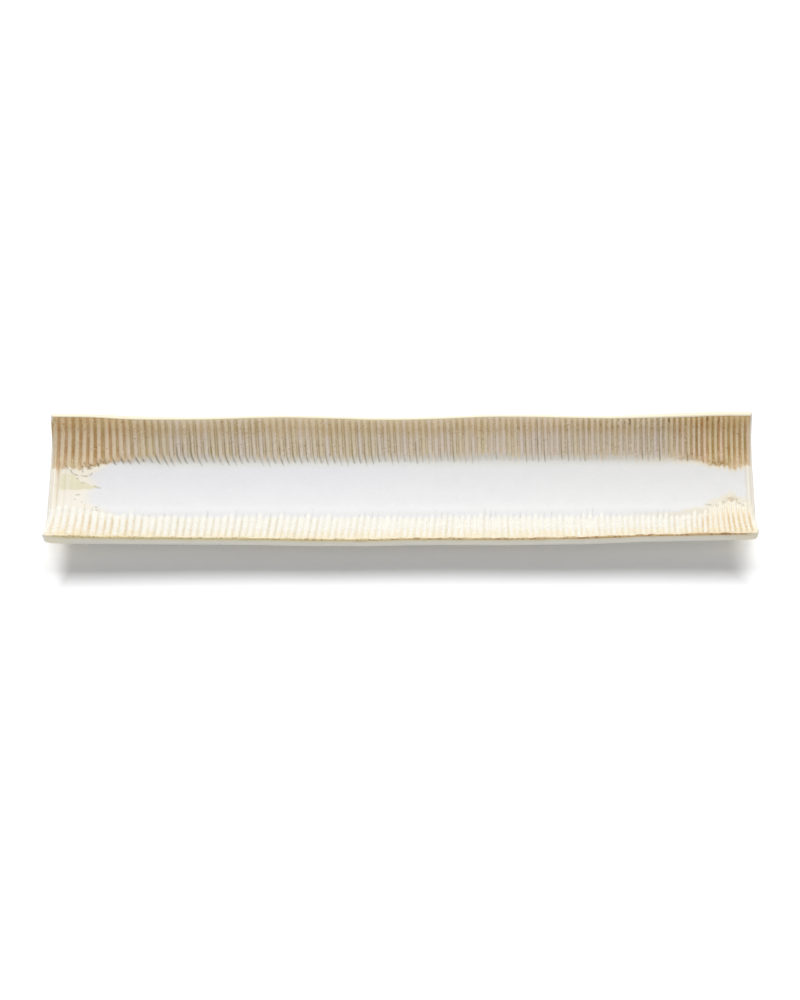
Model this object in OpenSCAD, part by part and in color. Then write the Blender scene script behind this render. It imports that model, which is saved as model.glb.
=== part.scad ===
// Asparagus plate: a long stoneware trough with open ends and combed walls.
// Millimetres. X runs along the plate, +Y is its back and +Z is up.
// The origin is under the middle of the plate, on the table.

/* [Plate] */
// Overall length, end to end
plate_length = 400; // [300:5:500]
// Overall width across both rims
plate_width = 84.5; // [76:0.5:110]
// Width of the flat floor between the walls
floor_width = 33; // [26:0.5:44]
// Depth of the trough half way along, from rim to clay floor
trough_depth = 11.5; // [8:0.5:18]
// How much higher the rims stand at the four corners
corner_lift = 4.5; // [0:0.5:9]
// How much each rim draws in at the corners
corner_draw = 0.9; // [0:0.1:3]
// Thickness of the clay under the floor
slab = 5.5; // [4:0.25:8]
// How the wall curls up: 1 is a straight slope, 2 is a bowl
wall_curl = 1.45; // [1.2:0.05:2.2]
// Rounding of the two cut ends
end_round = 1.2; // [0.6:0.1:1.8]

/* [Rims] */
// Height of the upright cut edge outside each rim
rim_edge = 5.5; // [4:0.25:8]
// Width of the rounded top of the rim
rim_top = 2; // [1:0.25:3]
// How far the back rim swings in and out
back_wave = 0.8; // [0:0.1:2]
// How far the front rim swings in and out
front_wave = 0.3; // [0:0.1:2]
// Length of one swing of a rim
wave_length = 122; // [80:1:200]
// Where along X the back rim comes furthest in
back_wave_x = -4; // [-60:1:60]
// Where along X the front rim goes furthest out
front_wave_x = -38; // [-60:1:60]

/* [Combed walls] */
// Flutes along each wall
flute_count = 110; // [60:1:130]
// Height of a rib above the clay slab
rib_height = 1.4; // [0.9:0.1:2]
// Coat left on the slab at the bottom of a flute
coat = 0.4; // [0.3:0.05:0.7]
// Plain band between a cut end and the first flute
end_band = 2.6; // [1.9:0.1:5]
// Part of the pitch taken by the flat crest of a rib
crest_share = 0.34; // [0.2:0.02:0.5]
// Part of the pitch taken by the flat bottom of a flute
groove_share = 0.16; // [0.1:0.02:0.4]
// How much the comb closes up from left to right
comb_drift_share = 0.16; // [0:0.02:0.3]

/* [Glazes] */
// Thickness of the white pool on the floor
pool_glaze = 0.7; // [0.4:0.05:1]
// Thickness of the glaze on the floor at both ends
end_glaze = 0.6; // [0.4:0.05:1]
// Thickness of the glaze outside
outer_glaze = 0.4; // [0.3:0.05:0.8]
// Distance from the left cut end to the round end of the pool
left_setback = 24; // [6:0.5:40]
// Distance from the right cut end to the round end of the pool
right_setback = 9; // [6:0.5:40]
// Flutes carried on across the floor at the left end
left_flutes = 5; // [0:1:6]
// Flutes carried on across the floor at the right end
right_flutes = 2; // [0:1:6]

/* [Foot] */
// Height of the foot
foot_height = 3; // [2:0.25:6]
// Distance from each cut end of the plate to the foot
foot_setback = 35; // [20:1:60]
// Distance from each edge of the flat underside to the foot
foot_inset = 1.5; // [0.5:0.25:4]
// Width of the ring of clay where it meets the slab
foot_wall = 6; // [4:0.25:9]
// How far each flank of the foot leans in towards its face
foot_lean = 0.8; // [0:0.1:1.5]

/* [Hidden] */
$fn = 96;

back = 1;
front = -1;
half_length = plate_length / 2;
half_floor = floor_width / 2;
base_z = foot_height;
floor_z = base_z + slab;
foot_length = plate_length - 2 * foot_setback;
foot_width = floor_width - 2 * foot_inset;

// The clay stops short of the overall width by the swing of the rim and the coat outside.
function wave_of(side) = side == back ? back_wave : front_wave;
function swing(side, x) = side == back
    ? -back_wave * cos(360 * (x - back_wave_x) / wave_length)
    : front_wave * cos(360 * (x - front_wave_x) / wave_length);
function corner_share(x) = pow(x / half_length, 2);
function clay_half(side, x) = plate_width / 2 - outer_glaze - wave_of(side)
    + swing(side, x) - corner_draw * corner_share(x);
function rim_y(side, x) = clay_half(side, x) - rim_top;
function rim_rise(x) = trough_depth + corner_lift * corner_share(x);

// Inner face of a wall at a share of its run, from the floor at 0 to the rim at 1.
function wall_y(side, x, share) = half_floor + (rim_y(side, x) - half_floor) * share;
function wall_z(x, share) = floor_z + rim_rise(x) * pow(share, wall_curl);
function wall_slope(side, x, share) = share <= 0 ? 0
    : wall_curl * rim_rise(x) * pow(share, wall_curl - 1) / (rim_y(side, x) - half_floor);
// The point a given depth off that face: above it, or into the clay when negative.
function off_wall(side, x, share, depth) =
    let (slope = wall_slope(side, x, share), long = sqrt(1 + slope * slope))
    [x,
     side * (wall_y(side, x, share) - depth * slope / long),
     wall_z(x, share) + depth / long];

// Outer face of a wall, from the flat underside at 0 to the foot of the cut edge at 1.
function edge_foot_z(x) = floor_z + rim_rise(x) - rim_edge;
function outer_y(side, x, share) = half_floor + (clay_half(side, x) - half_floor) * share;
function outer_z(x, share) = base_z + (edge_foot_z(x) - base_z) * pow(share, wall_curl);
function outer_slope(side, x, share) = share <= 0 ? 0
    : wall_curl * (edge_foot_z(x) - base_z) * pow(share, wall_curl - 1)
      / (clay_half(side, x) - half_floor);
function off_outer(side, x, share, depth) =
    let (slope = outer_slope(side, x, share), long = sqrt(1 + slope * slope))
    [x,
     side * (outer_y(side, x, share) + depth * slope / long),
     outer_z(x, share) - depth / long];

// Places along the walls where the section is taken.
wall_shares = [0, 0.18, 0.42, 0.66, 0.9, 1];
outer_shares = [0, 0.25, 0.5, 0.75, 0.96];
last_wall = len(wall_shares) - 1;
last_outer = len(outer_shares) - 1;
// The rim's rounded top, as shares of its width: out from its inner edge, and up.
rim_shares = [[0.35, 0.16], [0.72, 0.05], [1, -0.5]];
shoulder_share = rim_shares[len(rim_shares) - 1][1];
// The rounding of a cut end: how far along it, and how far its skin is drawn in.
round_shares = [[0, 1], [0.3, 0.3], [1, 0]];

// The comb: a share of the combed length for a place counted in flutes.
combed_from = -half_length + end_band;
combed_length = plate_length - 2 * end_band;
function comb_x(place) = let (share = place / flute_count)
    combed_from + combed_length * (share + comb_drift_share * share * (1 - share));
flute_places = [0, for (i = [0 : flute_count - 1])
    each [i + crest_share / 2, i + 0.5 - groove_share / 2,
          i + 0.5 + groove_share / 2, i + 1 - crest_share / 2], flute_count];
flute_depths = [1, for (i = [0 : flute_count - 1]) each [1, 0, 0, 1], 1];
last_column = len(flute_places) - 1;
// The ribs fade out at the floor and just under the rim.
rib_shares = [0, 0.8, 1, 1, 1, 0];

// Stations that the coarse faces share, each on a column of the comb.
station_count = 26;
function station_column(i) = round(i * last_column / station_count);
function station_x(i) = comb_x(flute_places[station_column(i)]);

// Triangles between two rows of the same length, and between a fine and a coarse row.
function quad(a, b, c, d) = [[a, b, c], [a, c, d]];
function flip(faces) = [for (f = faces) [for (i = [len(f) - 1 : -1 : 0]) f[i]]];
function facing(side, faces) = side == back ? faces : flip(faces);
function stitch(fine, coarse) = [
    for (i = [0 : station_count - 1])
        let (from = station_column(i), to = station_column(i + 1),
             mid = floor((from + to) / 2))
        each concat(
            [for (k = [from : mid - 1]) [fine + k, fine + k + 1, coarse + i]],
            [[fine + mid, coarse + i + 1, coarse + i]],
            [for (k = [mid : to - 1]) [fine + k, fine + k + 1, coarse + i + 1]])];

// One section of the clay, round from the floor at the back, with its skin drawn in.
function clay_section(x, inset) =
    let (half = function(side) concat(
        [for (s = wall_shares) off_wall(side, x, s, -inset)],
        [for (r = rim_shares)
            [x, side * (rim_y(side, x) + rim_top * r[0] - inset),
             wall_z(x, 1) + rim_top * r[1] - inset]],
        [[x, side * (clay_half(side, x) - inset), edge_foot_z(x) + inset]],
        [for (i = [last_outer : -1 : 0]) off_outer(side, x, outer_shares[i], -inset)]))
    let (at_back = half(back), at_front = half(front))
    concat(at_back, [for (i = [len(at_front) - 1 : -1 : 0]) at_front[i]]);

// The cut end: bands across the slab, from the floor out to the rim on both sides.
function clay_end(first, n) =
    let (half = n / 2, top = last_wall, foot = half - 1 - top,
         band = function(a, b, c, d) quad(first + a, first + b, first + c, first + d))
    concat(
        band(0, half - 1, half, n - 1),
        [for (k = [0 : top - 1]) each concat(
            band(k, k + 1, half - 2 - k, half - 1 - k),
            band(half + k, half + k + 1, n - 2 - k, n - 1 - k))],
        [for (k = [top : foot - 2])
            each [[first + k, first + k + 1, first + foot],
                  [first + n - 1 - foot, first + n - 2 - k, first + n - 1 - k]]]);

module slab_body() {
    last_round = len(round_shares) - 1;
    rings = concat(
        [for (r = round_shares)
            clay_section(-half_length + end_round * r[0], end_round * r[1])],
        [for (i = [0 : station_count]) clay_section(station_x(i), 0)],
        [for (i = [last_round : -1 : 0]) let (r = round_shares[i])
            clay_section(half_length - end_round * r[0], end_round * r[1])]);
    last = len(rings) - 1;
    n = len(rings[0]);
    color("tan") polyhedron(
        points = [for (ring = rings) each ring],
        faces = concat(
            [for (i = [0 : last - 1], j = [0 : n - 1])
                let (k = (j + 1) % n, a = i * n, b = (i + 1) * n)
                each j < n / 2 ? quad(a + j, b + j, b + k, a + k)
                               : quad(b + j, b + k, a + k, a + j)],
            clay_end(0, n),
            flip(clay_end(last * n, n))));
}

// Combed coat: its back lies on the clay and its face carries the flutes.
module wall_coat(side) {
    columns = last_column + 1;
    stations = station_count + 1;
    behind = (last_wall + 1) * columns;
    face_points = [for (j = [0 : last_wall], k = [0 : last_column])
        off_wall(side, comb_x(flute_places[k]), wall_shares[j],
                 coat + (rib_height - coat) * rib_shares[j] * flute_depths[k])];
    back_points = [for (j = [0 : last_wall], i = [0 : station_count])
        off_wall(side, station_x(i), wall_shares[j], 0)];
    polyhedron(
        points = concat(face_points, back_points),
        faces = facing(side, concat(
            [for (j = [0 : last_wall - 1], k = [0 : last_column - 1])
                each quad(j * columns + k, (j + 1) * columns + k,
                          (j + 1) * columns + k + 1, j * columns + k + 1)],
            flip([for (j = [0 : last_wall - 1], i = [0 : station_count - 1])
                each quad(behind + j * stations + i, behind + (j + 1) * stations + i,
                          behind + (j + 1) * stations + i + 1, behind + j * stations + i + 1)]),
            stitch(0, behind),
            flip(stitch(last_wall * columns, behind + last_wall * stations)),
            [for (j = [0 : last_wall - 1])
                each quad(j * columns, behind + j * stations,
                          behind + (j + 1) * stations, (j + 1) * columns)],
            flip([for (j = [0 : last_wall - 1])
                each quad(j * columns + last_column, behind + j * stations + station_count,
                          behind + (j + 1) * stations + station_count,
                          (j + 1) * columns + last_column)]))));
}

module back_wall_coat() {
    color("peru") wall_coat(back);
}

module front_wall_coat() {
    color("burlywood") wall_coat(front);
}

// White coat from the top of the cut edge down to the flat underside.
module outer_skin(side) {
    rows = last_outer + 2;
    function row_points(x, depth) = concat(
        [for (s = outer_shares) off_outer(side, x, s, depth)],
        [[x, side * (clay_half(side, x) + depth), edge_foot_z(x)],
         [x, side * (clay_half(side, x) + depth),
          wall_z(x, 1) + rim_top * shoulder_share]]);
    wide = rows + 1;
    ring = 2 * wide;
    polyhedron(
        points = [for (i = [0 : station_count]) each concat(
            row_points(station_x(i), 0),
            [for (j = [rows : -1 : 0]) row_points(station_x(i), outer_glaze)[j]])],
        faces = facing(side, concat(
            [for (i = [0 : station_count - 1], j = [0 : ring - 1])
                let (k = (j + 1) % ring, a = i * ring, b = (i + 1) * ring)
                each quad(a + k, b + k, b + j, a + j)],
            [for (j = [0 : rows - 1])
                each flip(quad(j, j + 1, ring - 2 - j, ring - 1 - j))],
            [for (j = [0 : rows - 1]) let (end = station_count * ring)
                each quad(end + j, end + j + 1, end + ring - 2 - j, end + ring - 1 - j)])));
}

module outside_glaze() {
    color("whitesmoke") {
        outer_skin(back);
        outer_skin(front);
    }
}

// Outline of the pool: the floor between the walls, with round ends.
module pool_outline() {
    left = -half_length + left_setback + half_floor;
    right = half_length - right_setback - half_floor;
    translate([left, -half_floor]) square([right - left, floor_width]);
    for (x = [left, right])
        translate([x, 0]) circle(r = half_floor);
}

module floor_glaze() {
    color("white") translate([0, 0, floor_z])
        linear_extrude(pool_glaze) pool_outline();
}

// Glaze on the floor past the round end of the pool, with the last flutes pressed into it.
module end_patch(side, flutes, first_place, step) {
    wide = half_length - end_band;
    bite = end_glaze / 2;
    translate([0, 0, floor_z])
        difference() {
            linear_extrude(end_glaze)
                difference() {
                    translate([side > 0 ? 0 : -wide, -half_floor]) square([wide, floor_width]);
                    pool_outline();
                }
            for (i = [0 : 1 : flutes - 1])
                translate([comb_x(first_place + step * i), 0, end_glaze + end_glaze - bite])
                    rotate([90, 0, 0])
                        cylinder(r = end_glaze, h = 2 * floor_width, center = true);
        }
}

module left_end_glaze() {
    color("darkkhaki") end_patch(-1, left_flutes, 0.5, 1);
}

module right_end_glaze() {
    color("cornsilk") end_patch(1, right_flutes, flute_count - 0.5, -1);
}

// Foot: a long ring with leaning flanks and round ends, standing on its narrow face.
module foot_profile() {
    polygon([[0, foot_height], [foot_lean, 0],
             [foot_wall - foot_lean, 0], [foot_wall, foot_height]]);
}

module foot_ring() {
    straight = foot_length - foot_width;
    inner = foot_width / 2 - foot_wall;
    color("sienna") for (turn = [0, 180])
        rotate([0, 0, turn]) {
            translate([-straight / 2, 0, 0]) rotate([90, 0, 90])
                linear_extrude(straight) translate([inner, 0]) foot_profile();
            translate([straight / 2, 0, 0]) rotate([0, 0, -90])
                rotate_extrude(angle = 180) translate([inner, 0]) foot_profile();
        }
}

slab_body();
foot_ring();
back_wall_coat();
front_wall_coat();
floor_glaze();
left_end_glaze();
right_end_glaze();
outside_glaze();
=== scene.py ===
"""A long combed stoneware plate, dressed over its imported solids."""

import math

import bpy
import numpy as np
from mathutils import Matrix, Vector


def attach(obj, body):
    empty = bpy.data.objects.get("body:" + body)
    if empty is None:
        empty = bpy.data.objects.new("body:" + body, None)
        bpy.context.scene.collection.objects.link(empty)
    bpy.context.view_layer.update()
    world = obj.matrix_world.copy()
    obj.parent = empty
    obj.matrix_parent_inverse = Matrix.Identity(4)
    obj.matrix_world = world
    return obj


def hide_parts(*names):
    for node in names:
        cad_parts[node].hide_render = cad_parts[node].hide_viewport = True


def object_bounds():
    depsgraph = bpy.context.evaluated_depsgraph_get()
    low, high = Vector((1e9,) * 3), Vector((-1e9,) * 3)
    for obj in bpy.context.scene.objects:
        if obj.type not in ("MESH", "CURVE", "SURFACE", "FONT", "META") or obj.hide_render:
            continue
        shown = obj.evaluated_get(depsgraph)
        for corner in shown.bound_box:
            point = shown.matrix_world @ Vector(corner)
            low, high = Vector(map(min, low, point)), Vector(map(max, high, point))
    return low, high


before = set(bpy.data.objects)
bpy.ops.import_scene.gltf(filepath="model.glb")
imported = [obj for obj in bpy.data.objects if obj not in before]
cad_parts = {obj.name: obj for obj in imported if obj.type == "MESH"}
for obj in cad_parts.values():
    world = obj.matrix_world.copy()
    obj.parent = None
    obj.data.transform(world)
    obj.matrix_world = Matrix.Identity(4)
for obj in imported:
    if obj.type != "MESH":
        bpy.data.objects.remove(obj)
cad_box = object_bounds()

# Sizes of the solids, in millimetres. The length is the frame's own.
MM = 0.001
BACK, FRONT = 1, -1
HALF_LENGTH = round(cad_box[1][0] / MM, 3)
HALF_WIDTH = 42.25
HALF_FLOOR = 16.5
BASE_Z = 3.0
FLOOR_Z = 8.5
TROUGH_DEPTH = 11.5
CORNER_LIFT = 4.5
CORNER_DRAW = 0.9
WALL_CURL = 1.45
RIM_TOP = 2.0
RIM_EDGE = 5.5
WAVE_LENGTH = 122.0
WAVES = {BACK: 0.8, FRONT: 0.3}
WAVE_AT = {BACK: -4.0, FRONT: -38.0}
OUTER_GLAZE = 0.4
FLUTES = 110
END_BAND = 2.6
COMB_DRIFT = 0.16
LEFT_SETBACK = 24.0
RIGHT_SETBACK = 9.0

# Sizes of the look alone, in millimetres.
END_START = 150.0
END_ROUND = 1.6
SKIN_END = 1.2
SKIN_THINS, COAT_THINS = 1.6, 2.5
FRONT_CORNER = 2.6
WIDE_RIM = 0.9
RIM_LINE = 1.4
CORNER_DEEP = 1.6
LINE_DROP = 1.1
COAT_LAP = {BACK: 0.02, FRONT: 0.3}
THIN_EDGE = 0.03
WALL_GLAZE = 0.35
POOL_GLAZE = 0.7
CREASE_FILL = {BACK: 4.0, FRONT: 5.0}
RIB = 1.0
STROKE_WIDE = 0.42
SIDE_UNEVEN, RISE_UNEVEN, COMB_UNEVEN, GLAZE_UNEVEN = 0.1, 0.12, 0.22, 0.05

# How fine the meshes and the noise are.
COLUMNS_PER_FLUTE, END_COLUMNS = 12, 4
WALL_ROWS, ROW_CROWDING = 36, 1.15
POOL_ROWS, POOL_STEP, POOL_TURNS = 26, 0.45, 60
END_ROWS, END_ACROSS = 48, 60
CLAY_STEP, CLAY_TURNS = 2.0, 7
INNER_ROWS, OUTER_ROWS, RIM_CUTS = 24, 23, 3
OUTSIDE_STATIONS = 201
FILL_STEPS = 9
NORMAL_STEP = 0.05
PLACES_PER_FLUTE = 40
LINE_KNOTS, PLANE_KNOTS = 1024, 256

# Soft steps and noise.


def smooth(low, high, x):
    """From 0 at low to 1 at high with soft ends, whichever of the two is larger."""
    t = np.clip((x - low) / (high - low), 0.0, 1.0)
    return t * t * (3.0 - 2.0 * t)


def mix(a, b, share):
    return a + (b - a) * share


def hump(x, middle, reach):
    """1 at its middle and next to nothing two reaches away."""
    return np.exp(-((x - middle) / reach) ** 2)


def wander(seed, x, step):
    """Soft seeded noise from -1 to 1 along x."""
    table = np.random.default_rng(seed).uniform(-1.0, 1.0, LINE_KNOTS)
    place = np.asarray(x, float) / step + LINE_KNOTS / 2
    low = np.floor(place).astype(int)
    part = smooth(0.0, 1.0, place - low)
    return mix(table[low % LINE_KNOTS], table[(low + 1) % LINE_KNOTS], part)


def mottle(seed, x, y, step):
    """Soft seeded noise from -1 to 1 over a plane."""
    n = PLANE_KNOTS
    table = np.random.default_rng(seed).uniform(-1.0, 1.0, (n, n))
    u, v = np.asarray(x, float) / step + n / 2, np.asarray(y, float) / step + n / 2
    i, j = np.floor(u).astype(int), np.floor(v).astype(int)
    a, b = smooth(0.0, 1.0, u - i), smooth(0.0, 1.0, v - j)
    i, j, k, m = i % n, j % n, (i + 1) % n, (j + 1) % n
    return mix(mix(table[i, j], table[k, j], a), mix(table[i, m], table[k, m], a), b)


# The clay's own shape. x runs along the plate, q outward from the floor's edge, and t is q as a
# share of the wall.


def corner_share(x):
    """0 in the plate's middle and 1 at its ends."""
    return (x / HALF_LENGTH) ** 2


def corner_round(side, x):
    """How far the rim draws in round the right front corner."""
    into = np.clip(x - (HALF_LENGTH - FRONT_CORNER), 0.0, FRONT_CORNER)
    return (FRONT_CORNER - np.sqrt(FRONT_CORNER ** 2 - into ** 2)) * (side == FRONT)


def clay_half(side, x):
    """How far the clay reaches from the plate's middle line."""
    swing = WAVES[side] * np.cos(2.0 * np.pi * (x - WAVE_AT[side]) / WAVE_LENGTH)
    uneven = SIDE_UNEVEN * wander(20 + side, x, 17.0)
    return (HALF_WIDTH - OUTER_GLAZE - WAVES[side] - SIDE_UNEVEN - side * swing + uneven
            - CORNER_DRAW * corner_share(x) - corner_round(side, x))


def left_rim(x):
    return smooth(115.0, 165.0, -x)


def right_rim(x):
    return smooth(100.0, 165.0, x)


def rim_top(side, x):
    """Width of the rim's top. The back rim broadens towards both ends, and less at the left corner."""
    broad = left_rim(x) - 0.5 * smooth(END_START, 185.0, -x) + right_rim(x)
    return RIM_TOP + WIDE_RIM * broad * (side == BACK)


def rim_y(side, x):
    """Where the wall's inner face meets the rim's top."""
    return clay_half(side, x) - rim_top(side, x)


def rim_rise(side, x):
    """Height of the rim above the floor."""
    uneven = RISE_UNEVEN * wander(30 + side, x, 23.0)
    return TROUGH_DEPTH + CORNER_LIFT * corner_share(x) + uneven


def wall_run(side, x):
    """How far the wall leans out between the floor's edge and the rim."""
    return rim_y(side, x) - HALF_FLOOR


def wall_share(side, x, q):
    """A place on the wall, from 0 at the floor's edge to 1 at the rim."""
    return q / wall_run(side, x)


def wall_z(side, x, q):
    """Height of the clay's inner face."""
    t = np.maximum(wall_share(side, x, q), 0.0)
    return FLOOR_Z + rim_rise(side, x) * t ** WALL_CURL


def rim_edge(side, x):
    """Depth of the cut edge below the rim. It grows towards the left front corner."""
    return RIM_EDGE + CORNER_DEEP * smooth(END_START, HALF_LENGTH, -x) * (side == FRONT)


def outer_at(side, x, share):
    """Points (y, z) of the clay's outside, from the flat base at 0 to the foot of the cut edge at 1."""
    foot = FLOOR_Z + rim_rise(side, x) - rim_edge(side, x)
    y = HALF_FLOOR + (clay_half(side, x) - HALF_FLOOR) * share
    return np.stack([y, BASE_Z + (foot - BASE_Z) * share ** WALL_CURL], -1)


# The comb.


def comb_x(place):
    """Where a rib lies along the plate. The ribs close up towards the right."""
    share = place / FLUTES
    start, length = -HALF_LENGTH + END_BAND, 2.0 * (HALF_LENGTH - END_BAND)
    x = start + length * (share + COMB_DRIFT * share * (1.0 - share))
    return x + COMB_UNEVEN * wander(41, place, 1.0) * np.minimum(1.0, np.minimum(place, FLUTES - place))


PLACES = np.linspace(0.0, FLUTES, FLUTES * PLACES_PER_FLUTE + 1)
PLACE_XS = comb_x(PLACES)
rng = np.random.default_rng(7)


def draws(low, high):
    """A number drawn for each flute or rib of each wall."""
    return {side: rng.uniform(low, high, FLUTES + 1) for side in (BACK, FRONT)}


RIB_DEPTH, RIB_BLUSH = draws(0.8, 1.1), draws(0.0, 1.0)
FLUTE_TINT, FLUTE_WIDTH, FLUTE_TAIL = draws(0.0, 1.0), draws(0.0, 1.0), draws(0.0, 1.0)
HAIR_AT, HAIR_TINT, HAIR_REACH = draws(0.42, 0.68), draws(0.2, 1.0), draws(3.0, 26.0)

# How far the cut ends lie off square: places across the plate, and each end's shift along it.
END_PLACES = (-42, -37, -30, -16, 0, 16, 30, 42)
LEFT_SHIFT = (0.0, -0.6, -0.9, -0.6, -0.7, -0.3, 0.3, 0.1)
RIGHT_SHIFT = (-0.2, -0.4, -0.1, 0.1, 0.3, 0.3, 0.1, 0.4)
# Where the combing dies out: places along the plate, and how far outside the floor's edge.
COMB_END = {
    BACK: ((-200, -193, -189, -178, -173, -162, -140, -60, 0, 60, 120, 150, 160, 170, 180, 188, 200),
           (-4.2, -3.6, -2.8, -3.6, -1.6, 1.2, 0.9, 0.2, 0.7, 1.3, 1.7, 2.1, 1.7, -0.2, -2.8, -4.0, -3.6)),
    FRONT: ((-200, -185, -172, -160, -140, 0, 140, 160, 171, 174, 182, 187, 193, 200),
            (-3.5, -4.0, -2.4, 1.0, 2.1, 3.3, 3.2, 2.6, 1.0, -2.6, -6.5, -8.6, -4.8, -3.5)),
}
# How far the flutes lean from rim to floor: places along the plate, and the shift along it.
LEAN = {
    BACK: ((-200, -180, -165, -150, -60, 40, 130, 200), (-0.4, -0.2, 0.8, 1.4, 1.7, 0.8, 0.4, 0.2)),
    FRONT: ((-200, -185, -150, -130, -90, -60, 10, 60, 140, 170, 182, 192, 200),
            (0.0, -0.5, -0.5, 0.0, 1.1, 2.0, 2.2, 0.0, 1.5, 1.9, 1.0, 0.0, 0.0)),
}
# Short dark strokes in the glaze at both ends: x, y, half length and turn in degrees.
STROKES = (
    (-191.4, 15.8, 1.2, -60), (-190.4, 14.4, 1.0, -30), (-189.8, 13.0, 0.9, -70), (-191.8, 13.4, 0.8, 40),
    (-181.6, 14.2, 0.9, 70), (-180.4, 16.2, 1.3, -60), (-179.2, 14.4, 1.5, -45), (-178.0, 13.0, 1.1, 40),
    (-177.2, 15.4, 1.1, -50), (-176.4, 13.0, 0.9, 35), (-174.4, 14.8, 0.9, -50), (-173.2, 16.4, 1.0, 60),
    (-171.6, 18.0, 1.3, -40), (-170.0, 17.0, 1.2, -60), (-168.6, 18.4, 1.0, 50), (-167.0, 17.4, 0.9, -70),
    (-187.6, 11.0, 2.0, -65), (-185.0, 8.9, 2.2, -25), (-180.0, 8.0, 2.6, -4), (-176.4, 9.2, 1.4, 50),
    (-183.9, 6.3, 0.9, 10), (-173.6, 1.0, 1.4, -20),
    (-180.6, 3.5, 1.3, -10), (-171.6, 0.2, 1.5, 0), (-183.0, -4.4, 1.6, 12), (-184.6, -7.4, 0.6, 80),
    (-180.6, -9.2, 0.5, 30), (-172.6, -12.6, 0.9, -30), (-172.2, -14.6, 0.7, 10),
    (173.5, -12.4, 2.6, -6), (182.7, -11.2, 0.7, 20), (186.8, -9.9, 1.1, 15), (189.6, -9.0, 0.6, 60),
    (193.4, -13.0, 0.8, -50),
)
# The pool's left shore: places across the plate, and how far along it.
SHORE = ((-16, -12, -9, -5, 1, 4, 8, 12, 16), (-166, -173, -177, -178, -174, -175, -177, -171, -165))
# The olive tongue's back and front edge: places along the plate, and how far across it.
TONGUE_TIP = -171.5
TONGUE_BACK = ((-194, -185, -183.5, -179, -174, TONGUE_TIP), (10.0, 9.6, 5.6, 3.4, 1.5, 0.5))
TONGUE_FRONT = ((-194, -183, -178, TONGUE_TIP), (-1.2, -1.3, -0.8, 0.2))
# Along the plate: the tint of the front wall's flutes, and how thin the back wall's wash is.
FRONT_TINT = ((-190, -170, -135, -95, -55, -15, 65, 145, 175, 190),
              (0.66, 0.9, 0.8, 1.0, 0.9, 0.66, 0.7, 0.72, 0.75, 0.95))
BACK_THIN = ((-110, -60, 0, 100), (0.55, 0.35, 0.3, 0.25))
# Along the plate: how far the back wall's hair lines were dragged, and how dark they are.
HAIR_PULL = ((-180, -150, -60, 20, 200), (0.8, 2.3, 1.3, 0.3, 0.0))
HAIR_DARK = ((-110, -80, 50), (1.2, 1.0, 0.62))
# How much longer than wide the streaks along the flutes are.
STREAK = 6.0


def comb_end(side, x):
    """How far outside the floor's edge the combing dies out."""
    return np.interp(x, *COMB_END[side]) + 0.5 * wander(50 + side, x, 5.0)


def comb_at(side, x, q, t, drag=0.0):
    """The flute and the nearest rib at a place, and how far across the flute it lies."""
    lean = np.interp(x, *LEAN[side]) * (1.0 - np.clip(t, 0.0, 1.0)) * smooth(-HALF_FLOOR, 0.0, q)
    place = np.interp(x - lean - drag, PLACE_XS, PLACES)
    flute = np.clip(np.floor(place).astype(int), 0, FLUTES - 1)
    return flute, np.round(place).astype(int), place - np.floor(place)


def valley(phase):
    """0 on a rib's crest and 1 in the middle of a flute."""
    return 0.5 - 0.5 * np.cos(2.0 * np.pi * phase)


# The glaze's face.


def coat_top(side, x):
    """Share of the wall where its coat stops. Towards the ends the back rim's cream comes further down."""
    short = 0.1 * left_rim(x) + 0.5 * right_rim(x)
    return 1.0 - (0.028 + 0.01 * wander(88, x, 6.0)) * short * (side == BACK)


def filled(side, x, q):
    """Height of the clay with the sharp foot of the wall filled by the glaze that ran into it."""
    reach = CREASE_FILL[side]
    steps = np.linspace(-reach, reach, FILL_STEPS)
    soft = sum(wall_z(side, x, q + step) for step in steps) / FILL_STEPS
    return mix(soft, wall_z(side, x, q), smooth(reach, 2.5 * reach, q))


def skin(side, x, q):
    """Points of the glaze's face."""
    y, z = HALF_FLOOR + q, filled(side, x, q)
    slope = 0.5 * (filled(side, x, q + 1.0) - filled(side, x, q - 1.0))
    long = np.sqrt(1.0 + slope * slope)
    t = wall_share(side, x, q)

    # The ribs fade at the floor and under the rim. At both ends low ones run on across the floor.
    _, rib, phase = comb_at(side, x, q, t)
    ribbed = smooth(-1.0, 5.0, q - comb_end(side, x)) * (1.0 - smooth(0.8, 1.0, t))
    across = 0.3 * (1.0 - smooth(-196.0, -180.0, x)) + 0.15 * smooth(190.0, 196.0, x)
    height = np.maximum(ribbed * RIB_DEPTH[side][rib], across)

    # The coat is thickest on the floor and thins out at the cut ends and below the rim.
    thick = mix(POOL_GLAZE, WALL_GLAZE, smooth(-14.0, 8.0, q))
    thick += RIB * height * (1.0 - valley(phase) ** 1.6)
    thick += GLAZE_UNEVEN * mottle(60, x, side * y, 13.0)
    near_end = smooth(0.0, SKIN_THINS, HALF_LENGTH - SKIN_END - np.abs(x))
    below = coat_top(side, x) - t
    thick = mix(THIN_EDGE, thick, near_end * smooth(0.0, 0.04, below))
    return np.stack([x, side * (y - thick * slope / long), z + thick / long], -1)


# Masks that colour the glaze. The two numbers in a smooth() are where a change starts and ends: in
# millimetres for x, q and flat, which is y, and as shares for t and deep. Noise takes a seed first.


def flute_draws(side, flute):
    """A flute's drawn tint, width and tail."""
    return FLUTE_TINT[side][flute], FLUTE_WIDTH[side][flute], FLUTE_TAIL[side][flute]


def streaks(seed, x, q, step):
    """Noise from -1 to 1, drawn out along the flutes."""
    return mottle(seed, x * STREAK, q, step)


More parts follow.
